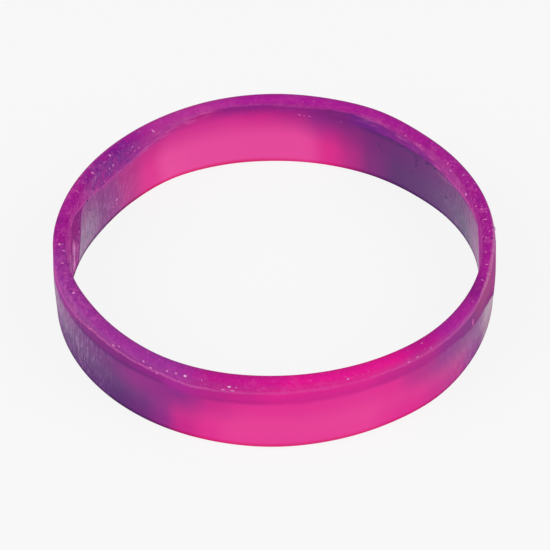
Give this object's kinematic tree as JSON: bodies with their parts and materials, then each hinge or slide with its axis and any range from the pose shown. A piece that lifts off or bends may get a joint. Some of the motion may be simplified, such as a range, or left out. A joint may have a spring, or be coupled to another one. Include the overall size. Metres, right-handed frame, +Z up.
{
  "type": "silicone mood bracelet",
  "caption": "Round closed loop of soft moulded silicone with a flat wall and long rounded edges, worn on the wrist and lying on its side.",
  "frame": {"origin": "on the surface that the band lies on, at the middle of the loop", "axes": "+Z up along the axis of the loop; X and Y lie in the plane of the bottom rim"},
  "size_m": [0.0618, 0.0618, 0.012],
  "materials": {
    "silicone": "satin thermochromic silicone in magenta, hot pink and violet swirls, slightly translucent"
  },
  "bodies": {
    "root": {"band": "silicone"}
  },
  "joints": []
}
